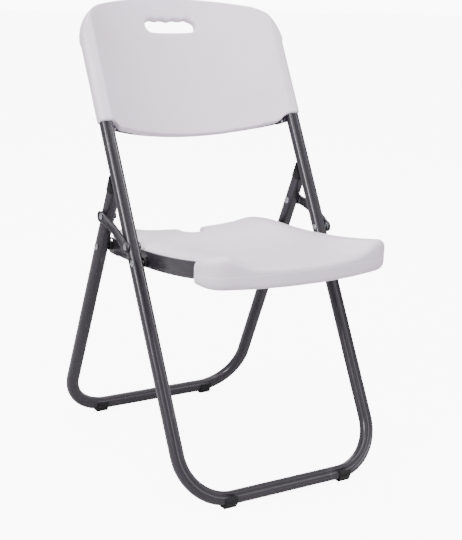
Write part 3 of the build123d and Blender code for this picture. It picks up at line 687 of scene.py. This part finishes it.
def circleThrough(p, q, s):
    # centre and radius of the circle through three points
    (ax, ay), (bx, by), (cx, cy) = p, q, s
    d = 2 * (ax * (by - cy) + bx * (cy - ay) + cx * (ay - by))
    pa, pb, pc = ax * ax + ay * ay, bx * bx + by * by, cx * cx + cy * cy
    x = (pa * (by - cy) + pb * (cy - ay) + pc * (ay - by)) / d
    y = (pa * (cx - bx) + pb * (ax - cx) + pc * (bx - ax)) / d
    return x, y, sqrt((ax - x) ** 2 + (ay - y) ** 2)


arcY, arcZ, arcRadius = circleThrough(*rails["points"])


def railLine(y, above=0.0):
    # height of the rails' middle line, or of a line that lies above it
    return arcZ - sqrt((arcRadius - above) ** 2 - (y - arcY) ** 2)


def smoothStep(value, low, high):
    t = max(0.0, min(1.0, (value - low) / (high - low)))
    return t * t * (3 - 2 * t)


def seatTop(x, y):
    # a shallow dish with rounded shoulders, which gives way to the level middle in front
    x = abs(x)
    crest = seat["side"] - seat["shoulder"]
    if x < crest:
        sink = seat["dish"] * (1 - (x / crest) ** 2)
    else:
        sink = seat["edgeDrop"] * min(1.0, (x - crest) / seat["shoulder"]) ** 2
    dished = railLine(y, seat["high"] - sink)
    past = x - horns["half"]
    flank = 0.5 * (past + sqrt(past * past + horns["blend"] ** 2)) * horns["rise"]
    level = (horns["middle"] - horns["slope"] * (y - seat["front"])
             + horns["curl"] * (min(x, horns["half"]) / horns["half"]) ** 2 + flank)
    return softMin(dished, level, horns["meet"])


def seatPlace(co):
    # the seat is shaped flat, and then follows the arc of the rails
    x, y, h = co
    edge = (x / seat["sideFront"]) ** 2
    y += seat["frontBow"] * edge * (1 - smoothStep(y, seat["front"], seat["bowEnd"]))
    top = seatTop(x, y)
    bottom = min(railLine(y, seat["low"]), top - seat["thinnest"])
    floor = seat["rollBottom"] + seat["bottomRise"] * edge
    if h >= seat["low"]:
        t = (h - seat["low"]) / (seat["high"] - seat["low"])
        slab = bottom + (top - bottom) * t
    else:
        slab = bottom + (floor - bottom) * (seat["low"] - h) / (seat["low"] - seat["rollLow"])
    roll = floor + (top - floor) * (h - seat["rollLow"]) / (seat["high"] - seat["rollLow"])
    share = 1 - smoothStep(y, *seat["rollFade"])
    return Vector((x, y, roll * share + slab * (1 - share)))


def upright(a, b):
    return abs(a.z - b.z) > tall and abs(a.x - b.x) < near["line"] and abs(a.y - b.y) < near["line"]


def notchLip(a, b):
    return (upright(a, b) and abs(abs(a.x) - seat["notchHalf"]) < near["place"]
            and abs(a.y - seat["back"]) < near["place"])


def topEdge(a, b):
    # the rim of the top, but not the front edge, which goes into the roll
    onTop = min(a.z, b.z) > seat["high"] - near["line"]
    return onTop and (min(a.y, b.y) > seat["slabFront"] + near["place"] or abs(a.y - b.y) > near["place"])


def rollEdge(a, b):
    level = abs(a.z - b.z) < near["line"]
    return level and (a.z < 0 or min(a.y, b.y) < seat["rollBack"] - near["place"])


def followRails(cutter):
    # cut the block across at even steps and lay it along the rails
    stations = rails["bends"]
    editAll(cutter)
    places = [v.co.y for v in cutter.data.vertices]
    low, high = min(places), max(places)
    for i in range(1, stations):
        bpy.ops.mesh.select_all(action="SELECT")
        bpy.ops.mesh.bisect(plane_co=(0, low + (high - low) * i / stations, 0), plane_no=(0, 1, 0))
    objectMode()
    moveVertices(cutter, lambda co: Vector((co.x, co.y, railLine(co.y, co.z))))


def seatBlock():
    # the slab with its notch behind, and the deep roll in front
    piece = block("seatShell", (-seat["side"], seat["slabFront"], seat["low"]),
                  (seat["side"], seat["back"], seat["high"]))
    bevelEdges(piece, lambda a, b: upright(a, b) and a.y > 0, seat["backCorner"], seat["cornerSteps"])
    notch = block("notch", (-seat["notchHalf"], seat["back"] - seat["notchDepth"], -seat["clear"]),
                  (seat["notchHalf"], seat["back"] + seat["clear"], seat["clear"]))
    bevelEdges(notch, lambda a, b: upright(a, b) and a.y < seat["back"], seat["notchEnd"],
               seat["notchEndSteps"])
    combine(piece, notch, "DIFFERENCE")
    bevelEdges(piece, notchLip, seat["notchLip"], seat["notchLipSteps"])
    bevelEdges(piece, topEdge, seat["edgeRound"], seat["edgeSteps"])
    roll = block("roll", (-seat["sideFront"], seat["front"], seat["rollLow"]),
                 (seat["sideFront"], seat["rollBack"], seat["high"]))
    bevelEdges(roll, lambda a, b: upright(a, b) and a.y < seat["slabFront"], seat["frontCorner"],
               seat["cornerSteps"])
    bevelEdges(roll, rollEdge, seat["rollRound"], seat["rollSteps"])
    combine(piece, roll, "UNION")
    return piece


def makeRoom(piece):
    # room underneath for the rails and the braces
    high = rails["halfHeight"] + rails["gap"]
    for side in (-1, 1):
        for name, outer, start, low in (("tunnel", rails["outer"], rails["start"], -high),
                                        ("below", rails["roomSide"], seat["rollBack"], rails["roomDeep"])):
            a, b = sorted(side * x for x in (rails["inner"], outer))
            cutter = block(name, (a, start, low), (b, rails["roomBack"], high))
            followRails(cutter)
            combine(piece, cutter, "DIFFERENCE")
    for y in braces["places"]:
        groove = pin("groove", (0, y, railLine(y) - braces["drop"]), braces["radius"], braces["length"])
        combine(piece, groove, "DIFFERENCE")


def makeSeat():
    piece = seatBlock()
    softenShape(piece, seat["voxel"], seat["soften"])
    moveVertices(piece, seatPlace)
    makeRoom(piece)
    shade(piece, seat["smooth"])
    finishPiece(piece, "seat", "shell_plastic", seatPlastic, "seat_panel")
    return piece


seatShell = makeSeat()
print("seat made,", len(seatShell.data.polygons), "faces")

# small parts: their CAD shapes with the edges broken, or rounded all over where they are moulded
edges = {"rail": 0.0005, "link": 0.0006, "rivet": 0.00025, "ring": 0.0003, "bar": 0.0004, "screw": 0.0002,
         "steps": 2, "angle": 35, "flat": 0.3}
pads = {"voxel": 0.0007, "soften": 5}


def copyOfNode(node, name):
    piece = nodes[node].copy()
    piece.data = nodes[node].data.copy()
    piece.parent = None
    piece.name = piece.data.name = name
    for key in list(piece.keys()):
        del piece[key]
    bpy.context.scene.collection.objects.link(piece)
    editAll(piece)
    bpy.ops.mesh.remove_doubles(threshold=weld["copied"])
    bpy.ops.mesh.dissolve_limited(angle_limit=radians(edges["flat"]))
    objectMode()
    return piece


def pressedPart(node, name, slot, material, edge):
    # sheet, bar and turned steel, and the caps and spacers
    piece = copyOfNode(node, name)
    applyModifier(piece, "BEVEL", width=edges[edge], segments=edges["steps"], limit_method="ANGLE",
                  angle_limit=radians(edges["angle"]), use_clamp_overlap=edge == "rail")
    shade(piece, edges["angle"])
    finishPiece(piece, bodyOfNode[node], slot, material, node)


def mouldedPart(node, name):
    piece = copyOfNode(node, name)
    softenShape(piece, pads["voxel"], pads["soften"])
    pick(piece)
    bpy.ops.object.shade_smooth()
    finishPiece(piece, bodyOfNode[node], "black_plastic", blackPlastic, node)


bodyOfNode = {node: body for body, held in frame["record"]["behaviour"]["bodies"].items() for node in held}
for side in ("left", "right"):
    pressedPart("seat_rail_" + side, "rail" + side.title(), "frame_steel", frameSteel, "rail")
    pressedPart("link_" + side, "link" + side.title(), "link_steel", linkSteel, "link")
pressedPart("backrest_crossbar", "crossbar", "frame_steel", frameSteel, "bar")
pressedPart("backrest_screws", "backrestScrews", "zinc_steel", zincSteel, "screw")
pressedPart("seat_screws", "seatScrews", "zinc_steel", zincSteel, "screw")
pressedPart("seat_brace_front", "braceFront", "frame_steel", frameSteel, "bar")
pressedPart("seat_brace_rear", "braceRear", "frame_steel", frameSteel, "bar")
print("rails, links and bars made")

smallParts = {"rivet": ("zinc_steel", zincSteel, "rivet"), "washer": ("zinc_steel", zincSteel, "ring"),
              "spacer": ("black_plastic", blackPlastic, "ring"),
              "cap": ("black_plastic", blackPlastic, "ring")}
for node in sorted(nodes):
    words = node.split("_")
    name = words[0] + "".join(word.title() for word in words[1:])
    if "pad" in words:
        mouldedPart(node, name)
    for kind in smallParts:
        if kind in words:
            pressedPart(node, name, *smallParts[kind])
print("rivets, washers, spacers, caps and pads made")

# a pale floor and four soft lamps
studio = {"floor": 40.0, "floorColour": (0.55, 0.54, 0.55, 1), "floorGlow": 16.0, "floorBounce": 0.0,
          "floorRoughness": 0.9,
          "world": (1.0, 1.0, 1.0, 1), "seenWorld": 10.0, "worldLight": 0.95, "aim": (0.0, 0.0, 0.45),
          "top": {"size": 2.6, "power": 120, "spot": (-0.5, -0.5, 3.0)},
          "key": {"size": 1.0, "power": 95, "spot": (-2.7, -1.0, 1.9)},
          "fill": {"size": 1.6, "power": 35, "spot": (2.2, -2.8, 1.6)},
          "back": {"size": 1.8, "power": 45, "spot": (0.9, 2.6, 2.2)}}


def glow(tree, seen, unseen):
    # brighter to the eye than as a light, so that the ground stays clean and white
    ray = tree.nodes.new("ShaderNodeLightPath").outputs["Is Camera Ray"]
    strength = tree.nodes.new("ShaderNodeMapRange")
    strength.inputs["To Min"].default_value, strength.inputs["To Max"].default_value = unseen, seen
    tree.links.new(ray, strength.inputs["Value"])
    return strength.outputs["Result"]


def addStudio():
    bpy.ops.mesh.primitive_plane_add(size=studio["floor"])
    floor = bpy.context.object
    floor.name = "floor"
    look = bpy.data.materials.new("floorPaint")
    look.use_nodes = True
    shader = look.node_tree.nodes["Principled BSDF"]
    shader.inputs["Base Color"].default_value = studio["floorColour"]
    shader.inputs["Roughness"].default_value = studio["floorRoughness"]
    shader.inputs["Emission Color"].default_value = studio["floorColour"]
    look.node_tree.links.new(glow(look.node_tree, studio["floorGlow"], studio["floorBounce"]),
                             shader.inputs["Emission Strength"])
    floor.data.materials.append(look)
    world = bpy.data.worlds.new("studio")
    world.use_nodes = True
    background = world.node_tree.nodes["Background"]
    background.inputs["Color"].default_value = studio["world"]
    world.node_tree.links.new(glow(world.node_tree, studio["seenWorld"], studio["worldLight"]),
                              background.inputs["Strength"])
    bpy.context.scene.world = world
    for name in ("top", "key", "fill", "back"):
        lamp = studio[name]
        data = bpy.data.lights.new(name, "AREA")
        data.size = lamp["size"]
        data.energy = lamp["power"]
        light = bpy.data.objects.new(name, data)
        light.location = lamp["spot"]
        aim = Vector(studio["aim"]) - Vector(lamp["spot"])
        light.rotation_euler = aim.to_track_quat("-Z", "Y").to_euler()
        bpy.context.scene.collection.objects.link(light)


addStudio()
print("studio set")
